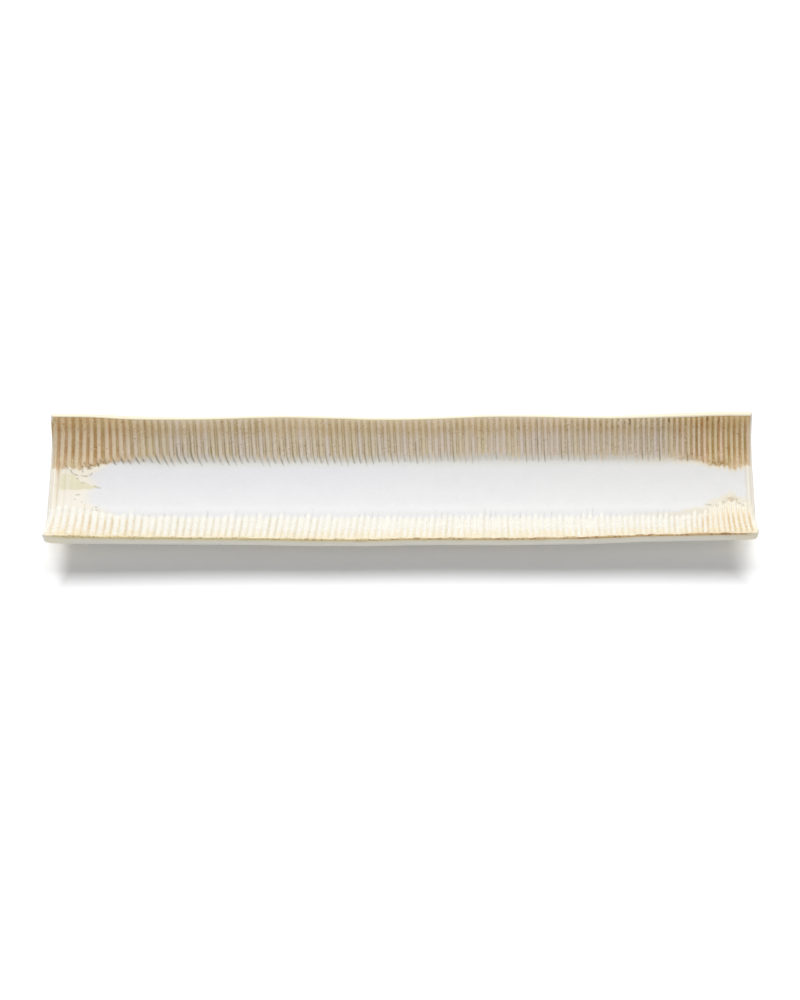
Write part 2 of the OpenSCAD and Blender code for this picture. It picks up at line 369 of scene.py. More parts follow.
def ragged_end(side, x, ends):
    """Where the wash dies out, more ragged at both ends of the plate."""
    return comb_end(side, x) + mix(0.4, 0.8, ends) * wander(70 + side, x, 1.6)


def froth_at(x):
    """How much froth shows along the plate: only towards its ends."""
    return 0.8 * smooth(160.0, 180.0, -x) + 0.75 * smooth(110.0, 172.0, x)


def back_wash(x, q, ends):
    """Masks of the back wall's amber wash: sharp and brown near both ends, soft and thin between."""
    t = wall_share(BACK, x, q)
    flute, _, phase = comb_at(BACK, x, q, t)
    deep = valley(phase)
    tint, wide, tail = flute_draws(BACK, flute)
    edge = ragged_end(BACK, x, ends) - deep * mix(0.4 + 1.6 * tail, 1.6 * tail, ends)
    soft = mix(9.0, 6.0, smooth(40.0, 110.0, x))
    zone = smooth(mix(-2.0, -1.0, ends), mix(soft, 1.8, ends), q - edge)

    # The grooves differ in width and tone from flute to flute, and are streaked along each.
    narrow = mix(0.42 + 0.3 * wide, 0.34 + 0.14 * wide, ends)
    groove = smooth(narrow, narrow + 0.34, deep) * smooth(0.2, 1.0, zone)
    groove *= mix(mix(0.3, 0.8, ends), mix(0.75, 1.0, ends), tint)
    groove *= mix(mix(0.4, 0.8, ends), 1.0, 0.5 + 0.5 * streaks(66, x, q, 9.0))

    # Their strength changes along the plate and up the wall.
    far = smooth(0.0, 110.0, x) * (1.0 - ends)
    groove *= mix(1.0, mix(0.55, 1.2, smooth(0.3, 0.85, t)), far)
    groove *= mix(0.7, 1.0, smooth(135.0, 170.0, np.abs(x)))
    bold = smooth(-165.0, -140.0, x) * smooth(0.0, -50.0, x)
    groove *= (1.0 + 0.3 * bold) * (1.0 + 0.35 * smooth(0.5, 0.8, t) * (1.0 - ends))
    groove *= 1.0 - ends * (0.2 * smooth(0.75, 0.9, t) + 0.28 * smooth(7.0, 1.0, q))
    streaked = smooth(90.0, 140.0, x) * smooth(190.0, 175.0, x)
    groove *= 1.0 + 0.9 * streaked * smooth(0.76, 0.93, t)
    rust = groove * smooth(0.15, 0.6, streaks(66, x, q, 6.0)) * mix(0.15, 1.0, ends)

    # Glaze gathers at the lower edge near both ends, most of all in one blot at the right.
    gather = hump(q - edge, 0.7, 1.1) * ends * (np.abs(x) < 193.5)
    blot = hump(x, 182.0, 6.5) * hump(q, -1.6, 3.0)
    uneven = 0.5 + 0.6 * mottle(67, x, HALF_FLOOR + q, 2.2)
    gather = gather * uneven + blot * zone * mix(0.35, 1.0, deep)

    # The wash hangs from the rim, with a pale band at the very top: partly the glaze's colour, partly a
    # painted highlight of the rim's inner edge.
    wash = smooth(0.55, mix(0.8, 0.95, ends), t + 0.07 * wander(86, x, 2.2)) * 0.9
    thin = np.interp(x, *BACK_THIN) * smooth(0.86, 0.97, t)
    wash = wash * mix((1.0 - thin) * (0.6 + 0.4 * deep), 1.0, ends)
    brow_and_highlight = smooth(0.98, 1.0, t) * (1.0 - ends) * (0.6 + 0.4 * wander(87, x, 9.0))
    return {"zone": zone, "groove": np.minimum(groove, 1.0), "rust": rust, "wash": wash, "brow_and_highlight": brow_and_highlight,
            "gather": np.minimum(gather, 1.0), "froth": froth_at(x) * smooth(-3.2, -1.0, q - edge)}


def front_wash(x, q, ends):
    """Masks of the front wall's pale wash, which is stronger on the left half and near both ends."""
    t = wall_share(FRONT, x, q)
    flute, rib, phase = comb_at(FRONT, x, q, t)
    deep = valley(phase)
    tint, wide, tail = flute_draws(FRONT, flute)
    ragged = ragged_end(FRONT, x, ends)
    tip = 0.2 + 2.6 * FLUTE_TAIL[FRONT][rib] ** 3
    edge = ragged + 0.4 + mix(-tip, 0.4 + 1.8 * tail, smooth(0.3, 0.8, deep))
    zone = smooth(mix(-2.8, -1.2, ends), mix(4.8, 2.8, ends), q - edge)

    # The grooves widen up the wall, and differ in tone from flute to flute and along each.
    strong = np.maximum(ends, 0.7 * smooth(20.0, -120.0, x))
    start = np.maximum(ragged, mix(-4.0, -1.6, smooth(150.0, 175.0, x)))
    risen = smooth(-1.0, mix(4.5, 9.0, ends), q - start)
    narrow = 0.62 + 0.2 * wide - 0.1 * strong * risen
    groove = smooth(narrow, narrow + 0.32, deep) * risen * np.interp(x, *FRONT_TINT)
    run_out = 0.5 + 0.5 * streaks(64, x, q, 9.0)
    groove *= mix(mix(0.5, 0.8, strong), 1.0, tint) * mix(mix(0.6, 0.8, strong), 1.0, run_out)
    fade = 0.18 * smooth(0.35, 0.55, t) + 0.3 * smooth(0.8, 0.95, t)
    groove *= 1.0 - fade * ends * (x < 0.0)

    # Glaze gathers at the lower edge of the right end, most of all in one blot on the floor.
    gather = hump(q - ragged, 0.2, 0.7) * smooth(165.0, 182.0, x)
    gather = gather * smooth(0.0, 0.8, mottle(67, x, -HALF_FLOOR - q, 1.8)) * smooth(196.0, 192.0, x)
    gather = gather + hump(x, 186.5, 3.0) * hump(q, -8.0, 1.3)
    out = 2.4 * smooth(150.0, 165.0, x)
    fringe = smooth(-3.2 - out, -1.0 - 0.6 * out, q - ragged)

    # The wash lies under the rim, in the flutes and over the right end.
    wash = smooth(0.8, 0.97, t + 0.09 * wander(84, x, 2.2)) * mix(0.7, 0.9, ends)
    wash = np.maximum(wash, 0.35 * ends * smooth(0.3, 0.7, t) * mix(0.4, 1.0, deep))
    wash = np.maximum(wash, 0.7 * (1.0 - ends) * smooth(0.55, 0.85, t) * deep)
    wash = np.maximum(wash, 0.4 * smooth(160.0, 182.0, x) * zone)
    none = np.zeros_like(groove)
    return {"zone": zone, "groove": np.minimum(groove, 1.0), "rust": none, "wash": wash, "brow_and_highlight": none,
            "gather": np.minimum(gather, 1.0), "froth": froth_at(x) * fringe}


def back_hairs(x, q):
    """Two dark hair lines in each flute of the back wall, dragged along the plate on the left half."""
    t = wall_share(BACK, x, q)
    end = comb_end(BACK, x)
    drag = np.interp(x, *HAIR_PULL) * np.clip((end + 4.2 - q) / 5.4, 0.0, 1.3) ** 1.5
    flute, _, phase = comb_at(BACK, x, q, t, drag)
    tint, reach, tail = HAIR_TINT[BACK][flute], HAIR_REACH[BACK][flute], FLUTE_TAIL[BACK][flute]
    middle = 0.5 + 0.5 * (HAIR_AT[BACK][flute] - 0.55)
    gap = 0.23 - 0.09 * FLUTE_WIDTH[BACK][flute]
    left = smooth(100.0, 150.0, -x)
    bold = mix(mix(0.6, 1.1, tint), 2.2 * tint ** 3, smooth(-20.0, 60.0, x))
    hair = bold * hump(phase, middle + gap, 0.085 + 0.025 * left)
    hair *= 1.0 - smooth(0.0, 9.0 - 5.0 * left, q - end - (4.0 + 0.8 * reach) * (1.0 - left))
    hair *= smooth(-0.6, 0.8, q - end + 0.4 + 2.6 * tail)
    other = mix(0.95, 0.4, tint) * hump(phase, middle - gap, 0.075)
    other *= smooth(0.5, 3.0, q - end - 3.0 * tail)
    other *= (1.0 - smooth(0.0, 8.0, q - end - 12.0 - 18.0 * tail)) * smooth(-172.0, -150.0, x)
    return (hair + other) * np.interp(x, *HAIR_DARK) * mix(1.2, 0.7, smooth(0.2, 0.7, t))


def front_hairs(x, q):
    """One short hair line at the foot of each flute of the front wall."""
    end = comb_end(FRONT, x)
    flute, _, phase = comb_at(FRONT, x, q, wall_share(FRONT, x, q))
    hair = HAIR_TINT[FRONT][flute] ** 2 * hump(phase, HAIR_AT[FRONT][flute], 0.09)
    hair *= 1.0 - smooth(0.0, 3.0, q - end)
    return hair * smooth(-0.4, 0.6, q - end + 0.8 + 4.6 * FLUTE_TAIL[FRONT][flute]) * 0.5


def hair_mask(side, x, q):
    """The hair lines, broken along the flutes and left out at both ends."""
    hair = back_hairs(x, q) if side == BACK else front_hairs(x, q)
    hair = np.clip(hair * (0.7 + 0.4 * streaks(68 + side, x, q, 3.5)), 0.0, 1.0)
    return hair * (1.0 - smooth(160.0, 182.0, x)) * (1.0 - smooth(176.0, 190.0, -x))


def stroke_mask(x, flat):
    """The short strokes, each a little bent and fading at its ends."""
    mask = np.zeros_like(x)
    for middle, across, half, turn in STROKES:
        turn = math.radians(turn)
        along = (x - middle) * math.cos(turn) + (flat - across) * math.sin(turn)
        aside = (flat - across) * math.cos(turn) - (x - middle) * math.sin(turn)
        bend = aside - 0.12 * along * along / half
        line = hump(bend, 0.0, STROKE_WIDE) * (1.0 - smooth(0.5, 1.1, np.abs(along) / half))
        mask = np.maximum(mask, line)
    return mask * (0.75 + 0.25 * mottle(69, x, flat, 1.3))


def left_end_glazes(x, flat, deep):
    """Masks of the left end's cream glaze, and of the olive tongue in it."""
    shore = np.interp(flat, *SHORE) + wander(93, flat, 2.3) + 1.2 * mottle(94, x, flat, 2.6)
    cream = 0.9 * (1.0 - smooth(-4.0, 3.5, x - shore))
    back, front = np.interp(x, *TONGUE_BACK), np.interp(x, *TONGUE_FRONT)
    olive = smooth(-0.3, 0.6, back - flat + 0.5 * wander(91, x, 1.8))
    olive *= smooth(-0.3, 0.6, flat - front + 0.4 * wander(92, x, 2.5)) * (x < TONGUE_TIP)
    stripes = mix(mix(0.55, 1.0, smooth(0.2, 0.8, deep)), 1.0, smooth(-188.0, -183.0, x))
    return cream, olive * stripes * smooth(-195.5, -193.0, x)


def look(side, x, q):
    """All masks of a stretch of glaze."""
    flat = side * (HALF_FLOOR + q)
    t = wall_share(side, x, q)
    flute, rib, phase = comb_at(side, x, q, t)
    deep = valley(phase)

    # Near both ends of the plate the glaze is browner, from a border that wanders.
    swell = 8.0 * wander(80 + side, x, 11.0)
    ends = smooth(128.0, 172.0, swell - x) + smooth(146.0, 176.0, x + 0.7 * swell)
    masks = back_wash(x, q, ends) if side == BACK else front_wash(x, q, ends)
    cream, masks["olive"] = left_end_glazes(x, flat, deep)
    masks["froth"] = np.maximum(masks["froth"], cream + 0.5 * smooth(193.5, 196.5, x))

    # The first flute runs on across the floor at the left, and the cut ends have a pale lip: partly the
    # glaze's colour, partly painted light over the shade of its slope.
    first = hump(x, -194.9, 1.0) * mix(0.35, 0.65, smooth(4.0, 14.0, flat)) * (q < 1.0)
    lip = smooth(HALF_LENGTH - 4.2, HALF_LENGTH - 2.2, np.abs(x))
    masks["groove"] = np.maximum(masks["groove"], first * smooth(-18.0, -6.0, flat))
    masks["zone"] = np.maximum(masks["zone"], np.maximum(0.8 * lip * smooth(0.0, 4.0, q), 0.9 * first))
    masks["lip"] = lip * mix(1.0, 0.65, x > 0.0)

    # Broad changes of colour: towards the ends, to the front wall, across the pool, where it is painted
    # shade darker towards the back wall, and to the right.
    masks["warm"] = ends
    masks["pale"] = 1.0 - smooth(3.0, 13.0, flat)
    masks["shade"] = smooth(16.0, -16.0, flat)
    masks["right"] = smooth(-60.0, 170.0, x)

    # The floor's edges, painted light at the front wall's foot and a painted shade band at the back wall's
    # foot, the tone of each rib and flute, dark specks at the right and all thin lines.
    masks["foot"] = smooth(-8.0, 0.0, q) * (side == FRONT)
    masks["crease_shade"] = smooth(-5.0, 0.5, q) * (1.0 - ends) * (side == BACK)
    masks["blush"] = RIB_BLUSH[side][rib]
    masks["tone"] = FLUTE_WIDTH[side][flute]
    speck = smooth(80.0, 140.0, x) * smooth(192.0, 178.0, x) * smooth(0.35, 0.75, deep) * (side == BACK)
    masks["speck"] = speck * (0.3 + 0.7 * smooth(0.78, 0.92, t)) * masks["zone"]
    masks["hair"] = np.maximum(hair_mask(side, x, q), stroke_mask(x, flat))
    return masks


def skin_normals(side, x, q):
    """Unit normals of the glaze's face, from small steps along and across it."""
    along = skin(side, x + NORMAL_STEP, q) - skin(side, x - NORMAL_STEP, q)
    across = skin(side, x, q + NORMAL_STEP) - skin(side, x, q - NORMAL_STEP)
    normals = np.cross(along, across) * side
    return normals / np.linalg.norm(normals, axis=-1, keepdims=True)


def clay_under(side, x, q):
    """Points of the clay behind the glaze."""
    return np.stack([x, side * (HALF_FLOOR + q), wall_z(side, x, q)], -1)


# Meshes.


def off_square(points):
    """The same points with both cut ends a little off square."""
    x, y = points[:, 0], points[:, 1]
    shift = np.interp(y, END_PLACES, LEFT_SHIFT) * smooth(END_START, HALF_LENGTH, -x)
    shift = shift + np.interp(y, END_PLACES, RIGHT_SHIFT) * smooth(END_START, HALF_LENGTH, x)
    return np.column_stack([x + shift, points[:, 1:]])


def add(name, data):
    """A new object in the scene."""
    thing = bpy.data.objects.new(name, data)
    bpy.context.scene.collection.objects.link(thing)
    return thing


def make_mesh(name, points, faces, masks, normals=None):
    """A smooth mesh object from points in millimetres, with a float layer for each mask."""
    mesh = bpy.data.meshes.new(name)
    mesh.from_pydata((off_square(points) * MM).tolist(), [], faces)
    mesh.polygons.foreach_set("use_smooth", np.ones(len(mesh.polygons), bool))
    for mask, values in masks.items():
        layer = mesh.attributes.new(mask, "FLOAT", "POINT")
        layer.data.foreach_set("value", np.asarray(values, np.float32).ravel())
    if normals is not None:
        mesh.normals_split_custom_set_from_vertices(normals.tolist())
    mesh.update()
    return add(name, mesh)


def shell(name, face, behind, masks, normals, flipped):
    """A closed skin: a grid of face points, the same grid behind it and its edges."""
    rows, columns = face.shape[:2]
    count = rows * columns
    index = np.arange(count).reshape(rows, columns)
    quads = np.stack([index[:-1, :-1], index[:-1, 1:], index[1:, 1:], index[1:, :-1]], -1)
    quads = quads.reshape(-1, 4)
    edge = np.concatenate([index[0, :-1], index[:-1, -1], index[-1, :0:-1], index[:0:-1, 0]])
    after = np.roll(edge, -1)
    sides = np.stack([edge, edge + count, after + count, after], -1)
    faces = np.concatenate([quads, quads[:, ::-1] + count, sides])
    if flipped:
        faces = faces[:, ::-1]
    both = {k: np.concatenate([v.ravel(), v.ravel()]) for k, v in masks.items()}
    points = np.concatenate([face.reshape(-1, 3), behind.reshape(-1, 3)])
    normals = normals.reshape(-1, 3)
    return make_mesh(name, points, faces.tolist(), both, np.concatenate([normals, -normals]))


def grid_skin(name, side, x, q, flipped):
    """A shell over a grid of places. Side is a grid too where the piece lies on both sides."""
    if np.ndim(side) == 0:
        face, behind, normals = skin(side, x, q), clay_under(side, x, q), skin_normals(side, x, q)
        return shell(name, face, behind, look(side, x, q), normals, flipped)
    at_back = (side == BACK)

    def pick(make):
        return np.where(at_back[..., None], make(BACK, x, q), make(FRONT, x, q))

    back_look, front_look = look(BACK, x, q), look(FRONT, x, q)
    masks = {k: np.where(at_back, back_look[k], front_look[k]) for k in back_look}
    return shell(name, pick(skin), pick(clay_under), masks, pick(skin_normals), flipped)


def wall_columns():
    """Places along a wall: even steps across each flute, and a few in the bands beside the ends."""
    inner = comb_x(np.linspace(0.0, FLUTES, FLUTES * COLUMNS_PER_FLUTE + 1))
    band = np.linspace(HALF_LENGTH - SKIN_END, HALF_LENGTH - END_BAND, END_COLUMNS + 1)[:-1]
    return np.concatenate([-band, inner, band[::-1]])


def wall_piece(name, side):
    """A combed wall, with its rows closer together near the floor."""
    x = wall_columns()
    t = np.linspace(0.0, 1.0, WALL_ROWS + 1) ** ROW_CROWDING
    q = t[:, None] * (wall_run(side, x) * coat_top(side, x))[None, :]
    return grid_skin(name, side, np.broadcast_to(x, q.shape), q, side == FRONT)


def floor_sides(y):
    """The side of the plate that a place on the floor belongs to, and its q."""
    return np.where(y >= 0.0, BACK, FRONT), np.abs(y) - HALF_FLOOR


POOL_LEFT = -HALF_LENGTH + LEFT_SETBACK + HALF_FLOOR
POOL_RIGHT = HALF_LENGTH - RIGHT_SETBACK - HALF_FLOOR
# In degrees: the pool's blunt tips, and how far the end pieces reach round it.
POOL_TIP, END_TURN = 1.0, 86.0
# How far past the middle of the pool's round end the end pieces start, in millimetres.
END_CLEAR = 1.5


def pool_piece(name):
    """The white pool with its round ends. Its rows lie closer together near the walls."""
    turn = np.radians(np.linspace(POOL_TIP, 90.0, POOL_TURNS))
    straight = np.arange(POOL_LEFT + POOL_STEP, POOL_RIGHT, POOL_STEP)
    x = np.concatenate([POOL_LEFT - HALF_FLOOR * np.cos(turn), straight,
                        POOL_RIGHT + HALF_FLOOR * np.cos(turn[::-1])])
    half = np.concatenate([HALF_FLOOR * np.sin(turn), np.full(len(straight), HALF_FLOOR),
                           HALF_FLOOR * np.sin(turn[::-1])])
    across = np.sin(np.linspace(-0.5 * np.pi, 0.5 * np.pi, 2 * POOL_ROWS + 1))
    across = mix(across, np.linspace(-1.0, 1.0, 2 * POOL_ROWS + 1), 0.5)
    y = across[:, None] * half[None, :]
    side, q = floor_sides(y)
    return grid_skin(name, side, np.broadcast_to(x, y.shape), q, False)


def end_piece(name, end, centre):
    """Floor glaze between the pool's round end and the cut end, which lies towards end."""
    far = end * (HALF_LENGTH - SKIN_END)
    along = wall_columns()
    along = along[end * (along - centre) > END_CLEAR][::end]
    wide = np.linspace(-1.0, 1.0, END_ACROSS + 1)[1:-1]
    out_x = np.concatenate([along, np.full(len(wide), far), along[::-1]])
    out_y = np.concatenate([np.full(len(along), -HALF_FLOOR), wide * HALF_FLOOR,
                            np.full(len(along), HALF_FLOOR)])
    step = np.hypot(np.diff(out_x), np.diff(out_y))
    turn = np.concatenate([[0.0], np.cumsum(step)]) / step.sum()
    turn = np.radians(mix(-END_TURN, END_TURN, turn))
    in_x, in_y = centre + end * HALF_FLOOR * np.cos(turn), HALF_FLOOR * np.sin(turn)
    w = np.linspace(0.0, 1.0, END_ROWS + 1)[:, None]
    y = mix(in_y[None, :], out_y[None, :], w)
    side, q = floor_sides(y)
    return grid_skin(name, side, mix(in_x[None, :], out_x[None, :], w), q, end == 1)


def cut_corners(points):
    """Each corner of a row of points cut twice as fine, with the row's ends kept."""
    a = 0.75 * points[:, :-1] + 0.25 * points[:, 1:]
    b = 0.25 * points[:, :-1] + 0.75 * points[:, 1:]
    cut = np.stack([a, b], 2).reshape(len(points), -1, 2)
    return np.concatenate([points[:, :1], cut, points[:, -1:]], 1)


# The rim's section: shares of its top's width and thickness, and where it leaves the wall's two faces.
RIM_SHARES = ((0.1, 0.12), (0.4, 0.17), (0.75, 0.1), (0.94, -0.12), (1.0, -0.5))
INNER_END = 0.97
OUTER_SHARES = (0.94, 0.88)
OUTER_START = 0.86


def clay_half_loop(side, x):
    """One half of the slab's section at each x: (y, z) from the floor over the rim to the base."""
    run = wall_run(side, x)
    places = [t * run for t in np.linspace(0.0, INNER_END, INNER_ROWS)]
    inner = [np.stack([HALF_FLOOR + q, wall_z(side, x, q)], -1) for q in places]
    y, z = HALF_FLOOR + run, wall_z(side, x, run)
    wide = rim_top(side, x)
    rim = [inner[-1], np.stack([y, z], -1)]
    rim += [np.stack([y + wide * out, z + RIM_TOP * up], -1) for out, up in RIM_SHARES]
    rim += [np.stack([clay_half(side, x), z - rim_edge(side, x)], -1)]
    rim += [outer_at(side, x, share) for share in OUTER_SHARES]
    rim = np.stack(rim, 1)
    for _ in range(RIM_CUTS):
        rim = cut_corners(rim)
    outer = np.stack([outer_at(side, x, s) for s in np.linspace(OUTER_START, 0.0, OUTER_ROWS)], 1)
    return np.concatenate([np.stack(inner[:-1], 1), rim, outer], 1)


def outward(loop):
    """Unit normals, away from the clay, along a half loop."""
    ahead = np.gradient(loop, axis=1)
    ahead = ahead / np.linalg.norm(ahead, axis=-1, keepdims=True)
    return np.stack([-ahead[..., 1], ahead[..., 0]], -1)


def clay_columns():
    """Places along the slab, and how far its section is drawn in there to round the cut ends."""
    turn = np.radians(np.linspace(90.0, 0.0, CLAY_TURNS))
    far = HALF_LENGTH - END_ROUND
    body = np.arange(-far + CLAY_STEP, far - 0.5 * CLAY_STEP, CLAY_STEP)
    left = -far - END_ROUND * np.sin(turn)
    inset = END_ROUND * (1.0 - np.cos(turn))
    x = np.concatenate([left, body, -left[::-1]])
    return x, np.concatenate([inset, np.zeros(len(body)), inset[::-1]])


def off_corners(x):
    """1 along the plate and 0 at its corners."""
    return smooth(HALF_LENGTH - 2.0, HALF_LENGTH - 8.0, np.abs(x))


def to_right(x):
    """How far to the right a place lies, for the rim's colours."""
    return smooth(-100.0, 180.0, x)


def rim_line(x, loop):
    """Mask of the ragged amber line on top of the front rim."""
    inside = clay_half(FRONT, x)[:, None] - loop[..., 0]
    ragged = RIM_LINE + 0.35 * wander(89, x, 4.0)[:, None]
    drop = FLOOR_Z + rim_rise(FRONT, x)[:, None] - loop[..., 1]
    return smooth(0.3, -0.3, inside - ragged) * (drop < 0.8) * off_corners(x)[:, None]


def tip_stain(x, loop):
    """Mask of the amber stain on the back wall's left end."""
    height = (loop[..., 1] - FLOOR_Z) / rim_rise(BACK, x)[:, None]
    return smooth(0.15, 0.7, height) * (1.0 - smooth(0.8, 0.95, height)) * (x < 0.0)[:, None]


def ring_of(back, front):
    """Two half loops as one ring: the back half's points, then the front half's the other way."""
    return np.concatenate([back, front[:, ::-1]], 1)


def clay_piece(name):
    """The slab: rings along the plate, closed by a flat cap at each end."""
    x, inset = clay_columns()
    back, front = (clay_half_loop(side, x) for side in (BACK, FRONT))
    back, front = (loop - outward(loop) * inset[:, None, None] for loop in (back, front))
    tip = (inset > 0.0)[:, None]
    place = np.broadcast_to(x[:, None], back.shape[:2])
    ring = ring_of(*(np.stack([place, side * loop[..., 0], loop[..., 1]], -1)
                     for side, loop in ((BACK, back), (FRONT, front))))
    plain = np.zeros_like(place)
    stations, n = ring.shape[:2]
    index = np.arange(stations * n).reshape(stations, n)
    ahead = np.roll(index, -1, 1)
    quads = np.stack([index[:-1], index[1:], ahead[1:], ahead[:-1]], -1).reshape(-1, 4)
    half = n // 2
    pairs = np.arange(half // 2)
    back_cap = np.stack([pairs, pairs + 1, half - 2 - pairs, half - 1 - pairs], -1)[:-1]
    cap = np.concatenate([back_cap, n - 1 - back_cap[:, ::-1], [[n - 1, 0, half - 1, half]]])
    faces = quads.tolist() + cap.tolist() + index[-1][cap[:, ::-1]].tolist()
    masks = {"rim": ring_of(plain, rim_line(x, front) * (1.0 - 0.7 * tip)),
             "stain": ring_of(tip * tip_stain(x, back), plain),
             "bare": (ring[..., 2] < BASE_Z + 0.02).astype(float),
             "tip": np.broadcast_to(tip, (stations, n)),
             "right": np.broadcast_to(to_right(x)[:, None], (stations, n))}
    piece = make_mesh(name, ring.reshape(-1, 3), faces, masks)
    for face in piece.data.polygons[len(quads):]:
        face.use_smooth = False
    return piece


def outside_piece(name, side):
    """White coat down the cut edge and under the wall to the flat base."""
    far = HALF_LENGTH - END_ROUND
    x = np.linspace(-far, far, OUTSIDE_STATIONS)
    middle = OUTSIDE_STATIONS // 2
    loop = clay_half_loop(side, x)
    normal = outward(loop)
    start = np.nonzero(loop[middle, :, 0] > clay_half(side, 0.0) - COAT_LAP[side])[0][0]
    loop, normal = loop[:, start:], normal[:, start:]
    drop = np.linalg.norm(np.diff(loop[middle], axis=0), axis=-1)
    drop = np.concatenate([[0.0], np.cumsum(drop)])
    thick = OUTER_GLAZE * smooth(0.0, 1.4, drop) * (1.0 - 0.8 * smooth(-2.0, 0.0, drop - drop[-1]))
    thick = THIN_EDGE + thick[None, :] * smooth(0.0, COAT_THINS, far - np.abs(x))[:, None]
    face = loop + normal * thick[..., None]
    place = np.broadcast_to(x[:, None], loop.shape[:2])
    face = np.stack([place, side * face[..., 0], face[..., 1]], -1)
    behind = np.stack([place, side * loop[..., 0], loop[..., 1]], -1)
    normal = np.stack([np.zeros_like(place), side * normal[..., 0], normal[..., 1]], -1)
    # Towards the cut ends the outside turns to rim cream: partly the glaze's colour, partly painted light
    # where the rounded corners would catch the lamp.
    masks = {"cream": smooth(178.0, HALF_LENGTH - 2.0, np.abs(place)), "right": to_right(place),
             "edge": hump(drop[None, :], 0.0, LINE_DROP) * (side == FRONT) * off_corners(place)}
    return shell(name, face, behind, masks, normal, side == BACK)


# Materials.


def srgb(red, green, blue):
    """Linear colour of a display colour from 0 to 255."""
    values = [v / 255.0 for v in (red, green, blue)]
    return tuple(v / 12.92 if v <= 0.04045 else ((v + 0.055) / 1.055) ** 2.4
                 for v in values) + (1.0,)


class Graph:
    """The nodes of a material or a world, added one call at a time."""

    def __init__(self, owner, shader="Principled BSDF"):
        owner.use_nodes = True
        self.owner = owner
        self.tree = owner.node_tree
        self.shader = self.tree.nodes[shader]

    def put(self, socket, value):
        if isinstance(value, bpy.types.NodeSocket):
            self.tree.links.new(value, socket)
        else:
            socket.default_value = value

    def set(self, **values):
        for name, value in values.items():
            self.put(self.shader.inputs[name.replace("_", " ")], value)

    def new(self, kind):
        return self.tree.nodes.new("ShaderNode" + kind)

    def mask(self, name):
        node = self.new("Attribute")
        node.attribute_name = name
        return node.outputs["Fac"]

    def math(self, operation, *values):
        node = self.new("Math")
        node.operation = operation
        for socket, value in zip(node.inputs, values):
            self.put(socket, value)
        return node.outputs[0]

    def most(self, *values):
        """The largest of some values."""
        most = values[0]
        for value in values[1:]:
            most = self.math("MAXIMUM", most, value)
        return most

    def mix(self, share, a, b):
        node = self.new("Mix")
        node.data_type = "RGBA"
        for socket, value in ((0, share), (6, a), (7, b)):
            self.put(node.inputs[socket], value)
        return node.outputs[2]

    def span(self, value, low, high, to_low=0.0, to_high=1.0, kind="LINEAR"):
        node = self.new("MapRange")
        node.interpolation_type = kind
        for socket, number in zip(node.inputs, (value, low, high, to_low, to_high)):
            self.put(socket, number)
        return node.outputs[0]

    def seen(self):
        """1 where the camera looks, straight on or by a gloss or through glass."""
        rays = self.new("LightPath").outputs
        return self.most(rays["Is Camera Ray"], rays["Is Glossy Ray"], rays["Is Transmission Ray"])

    def noise(self, scale, detail=3.0, rough=0.55, stretch=(1.0, 1.0, 1.0)):
        place, sizes, node = self.new("TexCoord"), self.new("Mapping"), self.new("TexNoise")
        self.put(sizes.inputs["Vector"], place.outputs["Object"])
        self.put(sizes.inputs["Scale"], stretch)
        self.put(node.inputs["Vector"], sizes.outputs[0])
        for name, value in (("Scale", scale), ("Detail", detail), ("Roughness", rough)):
            self.put(node.inputs[name], value)
        return node.outputs["Fac"]

    def bump(self, height, distance):
        node = self.new("Bump")
        for name, value in (("Height", height), ("Distance", distance), ("Strength", 1.0)):
            self.put(node.inputs[name], value)
        self.set(Normal=node.outputs["Normal"])


# The pool is painted darker at the back than at the front: painted shade.
POOL_BACK, POOL_FRONT = srgb(218, 218, 221), srgb(232, 232, 234)
RIGHT_POOL_BACK, RIGHT_POOL_FRONT = srgb(218, 218, 217), srgb(232, 232, 231)
# A painted shade band at the back wall's foot, painted light at the front wall's foot, and the cut ends'
# pale lip, painted lighter than its glaze.
CREASE_SHADE, POOL_FOOT_LIGHT, LIP_PALE_AND_LIT = srgb(210, 209, 203), srgb(238, 238, 238), srgb(253, 246, 230)
PINK_RIDGE, TAN_RIDGE = srgb(219, 205, 191), srgb(215, 200, 170)
END_RIDGE, PINK_END_RIDGE = srgb(226, 209, 174), srgb(230, 207, 176)
RIGHT_END_RIDGE, PINK_RIGHT_RIDGE = srgb(222, 204, 162), srgb(231, 205, 174)
AMBER, RIGHT_AMBER = srgb(190, 168, 126), srgb(176, 154, 114)
END_AMBER, RIGHT_END_AMBER = srgb(180, 141, 84), srgb(184, 148, 86)
OLIVE_AMBER, RED_AMBER = srgb(172, 152, 92), srgb(190, 144, 96)
PALE_RIDGE, PALE_AMBER = srgb(255, 253, 244), srgb(222, 215, 190)
PALE_END_AMBER, PALE_RIGHT_AMBER = srgb(216, 188, 130), srgb(222, 190, 132)
WASH, END_WASH, PALE_WASH = srgb(210, 185, 144), srgb(206, 178, 130), srgb(252, 237, 200)
RUST, FLECK, BLOTCH = srgb(188, 120, 60), srgb(150, 110, 62), srgb(126, 92, 44)
GATHER, PALE_GATHER = srgb(164, 128, 62), srgb(204, 184, 146)
